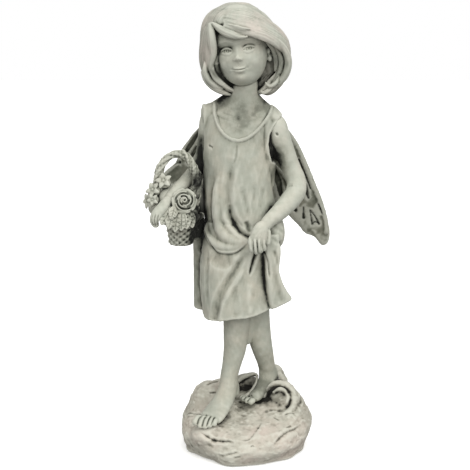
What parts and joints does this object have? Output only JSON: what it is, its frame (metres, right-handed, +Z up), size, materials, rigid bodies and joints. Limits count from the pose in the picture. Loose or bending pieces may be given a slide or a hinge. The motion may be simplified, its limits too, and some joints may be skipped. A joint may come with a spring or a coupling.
{
  "type": "garden fairy statuette",
  "caption": "Cast garden figure of a standing child fairy with wings, a flower basket and gathered skirt on a rock.",
  "frame": {"origin": "centre of the rock's flat underside", "axes": "+Z up through the figure, -Y towards the front of the figure, +X to the viewer's right"},
  "size_m": [0.2116, 0.1578, 0.499],
  "materials": {
    "cast_stone": "stone-filled resin casting, matt pale grey-green with a darker wash left in the recesses"
  },
  "bodies": {
    "root": {"garden_fairy_statuette": "cast_stone"}
  },
  "joints": []
}
